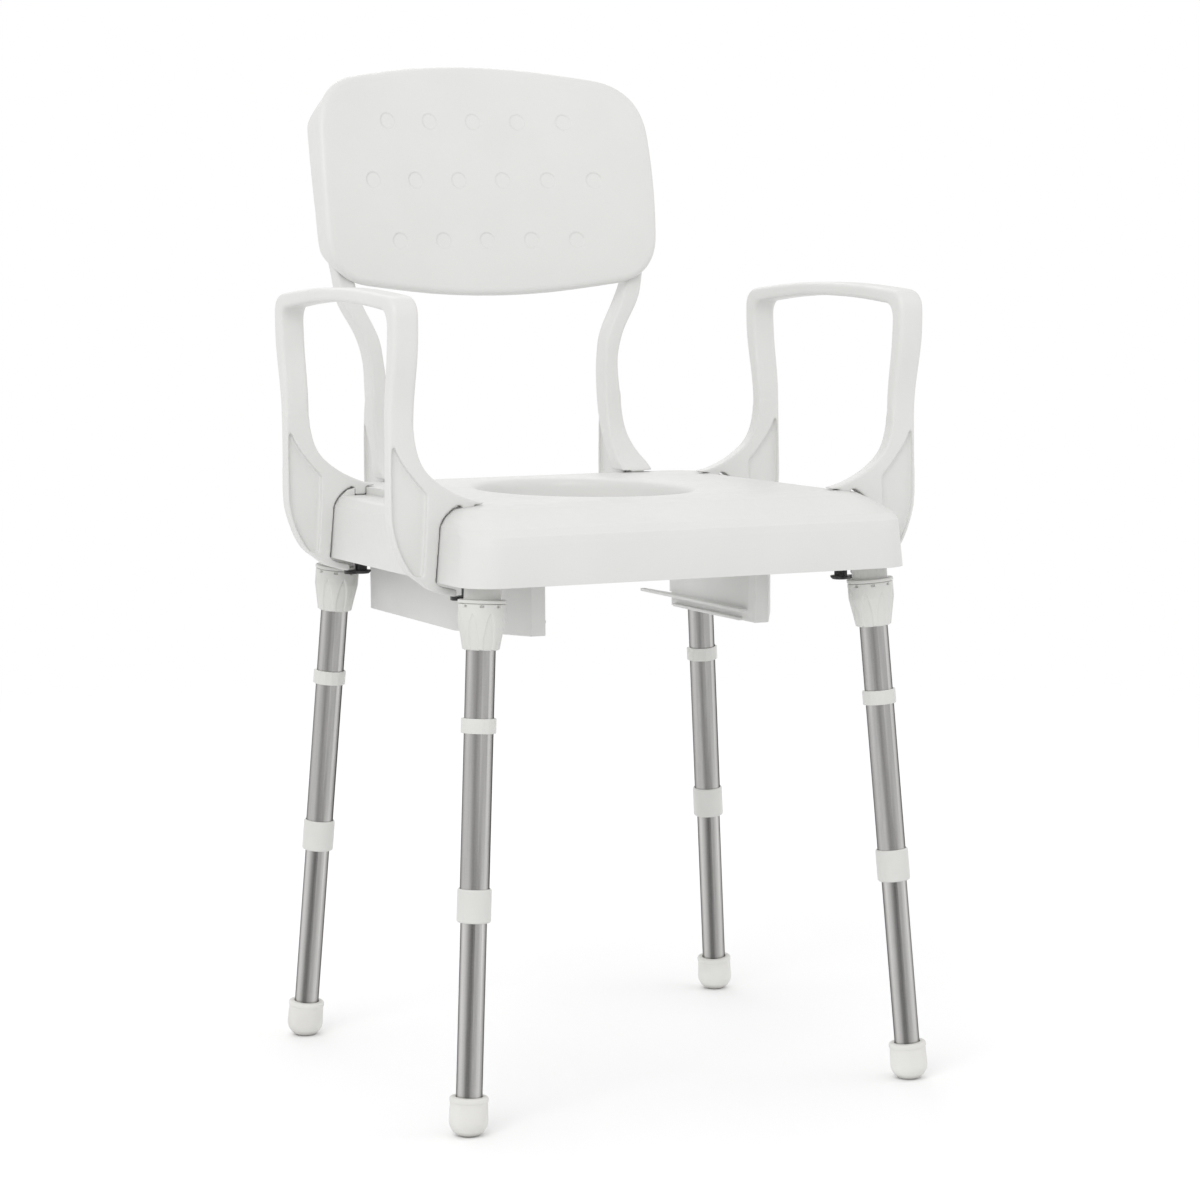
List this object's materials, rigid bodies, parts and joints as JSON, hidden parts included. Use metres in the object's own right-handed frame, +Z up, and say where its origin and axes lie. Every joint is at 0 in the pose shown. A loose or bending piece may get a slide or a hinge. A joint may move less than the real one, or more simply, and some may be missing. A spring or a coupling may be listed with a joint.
{
  "type": "shower chair",
  "caption": "Height-adjustable shower chair with an open-centre moulded seat, hook-on armrests and backrest, pan rails and telescopic splayed legs.",
  "frame": {"origin": "middle of the footprint box, on the floor", "axes": "+Z up, -Y the way a seated person faces, +X to the viewer right when looking at the front"},
  "size_m": [0.5676, 0.5843, 1.0297],
  "materials": {
    "anodised_aluminium": "drawn tube, satin clear anodised",
    "black_nylon": "satin moulded nylon",
    "stainless_steel": "bright steel",
    "white_nylon": "satin moulded nylon",
    "white_polypropylene": "satin moulded polypropylene with a fine grain",
    "white_rubber": "matt moulded rubber"
  },
  "bodies": {
    "chair": {"armrest_left": "white_polypropylene", "armrest_right": "white_polypropylene", "back_upright_left": "white_polypropylene", "back_upright_right": "white_polypropylene", "backrest_panel": "white_polypropylene", "front_left_guide_collar": "white_nylon", "front_left_leg_socket": "white_nylon", "front_left_outer_tube": "anodised_aluminium", "front_right_guide_collar": "white_nylon", "front_right_leg_socket": "white_nylon", "front_right_outer_tube": "anodised_aluminium", "left_rail_screw_front": "stainless_steel", "left_rail_screw_rear": "stainless_steel", "pan_rail_left": "white_polypropylene", "pan_rail_right": "white_polypropylene", "rear_left_guide_collar": "white_nylon", "rear_left_leg_socket": "white_nylon", "rear_left_outer_tube": "anodised_aluminium", "rear_right_guide_collar": "white_nylon", "rear_right_leg_socket": "white_nylon", "rear_right_outer_tube": "anodised_aluminium", "right_rail_screw_front": "stainless_steel", "right_rail_screw_rear": "stainless_steel", "seat_shell": "white_polypropylene"},
    "front_left_lower_leg": {"front_left_inner_tube": "anodised_aluminium", "front_left_foot": "white_rubber"},
    "front_left_clip": {"front_left_height_clip": "white_nylon"},
    "front_left_nut": {"front_left_grip_nut": "white_nylon"},
    "front_right_lower_leg": {"front_right_inner_tube": "anodised_aluminium", "front_right_foot": "white_rubber"},
    "front_right_clip": {"front_right_height_clip": "white_nylon"},
    "front_right_nut": {"front_right_grip_nut": "white_nylon"},
    "rear_left_lower_leg": {"rear_left_inner_tube": "anodised_aluminium", "rear_left_foot": "white_rubber"},
    "rear_left_clip": {"rear_left_height_clip": "white_nylon"},
    "rear_left_nut": {"rear_left_grip_nut": "white_nylon"},
    "rear_right_lower_leg": {"rear_right_inner_tube": "anodised_aluminium", "rear_right_foot": "white_rubber"},
    "rear_right_clip": {"rear_right_height_clip": "white_nylon"},
    "rear_right_nut": {"rear_right_grip_nut": "white_nylon"},
    "front_right_arm_latch": {"front_right_arm_latch": "black_nylon"},
    "front_left_arm_latch": {"front_left_arm_latch": "black_nylon"},
    "rear_right_arm_latch": {"rear_right_arm_latch": "black_nylon"},
    "rear_left_arm_latch": {"rear_left_arm_latch": "black_nylon"},
    "right_back_latch": {"right_back_latch": "black_nylon"},
    "left_back_latch": {"left_back_latch": "black_nylon"}
  },
  "joints": [
    {"name": "front_left_leg_height", "type": "slide", "parent": "chair", "child": "front_left_lower_leg", "axis": [0.0629, 0.0536, 0.9966], "range_m": [0, 0.15]},
    {"name": "front_left_clip_pull", "type": "slide", "parent": "chair", "child": "front_left_clip", "axis": [0.0034, -0.9986, 0.0535], "range_m": [0, 0.012]},
    {"name": "front_left_nut_turn", "type": "hinge", "parent": "chair", "child": "front_left_nut", "pos_m": [-0.2397, -0.2739, 0], "axis": [0.0629, 0.0536, 0.9966], "range_deg": [0, 90]},
    {"name": "front_right_leg_height", "type": "slide", "parent": "chair", "child": "front_right_lower_leg", "axis": [-0.0629, 0.0536, 0.9966], "range_m": [0, 0.15]},
    {"name": "front_right_clip_pull", "type": "slide", "parent": "chair", "child": "front_right_clip", "axis": [-0.0034, -0.9986, 0.0535], "range_m": [0, 0.012]},
    {"name": "front_right_nut_turn", "type": "hinge", "parent": "chair", "child": "front_right_nut", "pos_m": [0.2397, -0.2739, 0], "axis": [-0.0629, 0.0536, 0.9966], "range_deg": [0, 90]},
    {"name": "rear_left_leg_height", "type": "slide", "parent": "chair", "child": "rear_left_lower_leg", "axis": [0.069, -0.0626, 0.9956], "range_m": [0, 0.15]},
    {"name": "rear_left_clip_pull", "type": "slide", "parent": "chair", "child": "rear_left_clip", "axis": [-0.0043, -0.998, -0.0625], "range_m": [0, 0.012]},
    {"name": "rear_left_nut_turn", "type": "hinge", "parent": "chair", "child": "rear_left_nut", "pos_m": [-0.2453, 0.1705, 0], "axis": [0.069, -0.0626, 0.9956], "range_deg": [0, 90]},
    {"name": "rear_right_leg_height", "type": "slide", "parent": "chair", "child": "rear_right_lower_leg", "axis": [-0.069, -0.0626, 0.9956], "range_m": [0, 0.15]},
    {"name": "rear_right_clip_pull", "type": "slide", "parent": "chair", "child": "rear_right_clip", "axis": [0.0043, -0.998, -0.0625], "range_m": [0, 0.012]},
    {"name": "rear_right_nut_turn", "type": "hinge", "parent": "chair", "child": "rear_right_nut", "pos_m": [0.2453, 0.1705, 0], "axis": [-0.069, -0.0626, 0.9956], "range_deg": [0, 90]},
    {"name": "front_right_arm_latch_turn", "type": "hinge", "parent": "chair", "child": "front_right_arm_latch", "pos_m": [0.202, -0.1984, 0.5165], "axis": [0, 0, 1], "range_deg": [0, 90]},
    {"name": "front_left_arm_latch_turn", "type": "hinge", "parent": "chair", "child": "front_left_arm_latch", "pos_m": [-0.202, -0.1984, 0.5165], "axis": [0, 0, -1], "range_deg": [0, 90]},
    {"name": "rear_right_arm_latch_turn", "type": "hinge", "parent": "chair", "child": "rear_right_arm_latch", "pos_m": [0.202, 0.0924, 0.5165], "axis": [0, 0, -1], "range_deg": [0, 90]},
    {"name": "rear_left_arm_latch_turn", "type": "hinge", "parent": "chair", "child": "rear_left_arm_latch", "pos_m": [-0.202, 0.0924, 0.5165], "axis": [0, 0, 1], "range_deg": [0, 90]},
    {"name": "right_back_latch_turn", "type": "hinge", "parent": "chair", "child": "right_back_latch", "pos_m": [0.1388, 0.1475, 0.5165], "axis": [0, 0, 1], "range_deg": [0, 90]},
    {"name": "left_back_latch_turn", "type": "hinge", "parent": "chair", "child": "left_back_latch", "pos_m": [-0.1388, 0.1475, 0.5165], "axis": [0, 0, -1], "range_deg": [0, 90]}
  ]
}
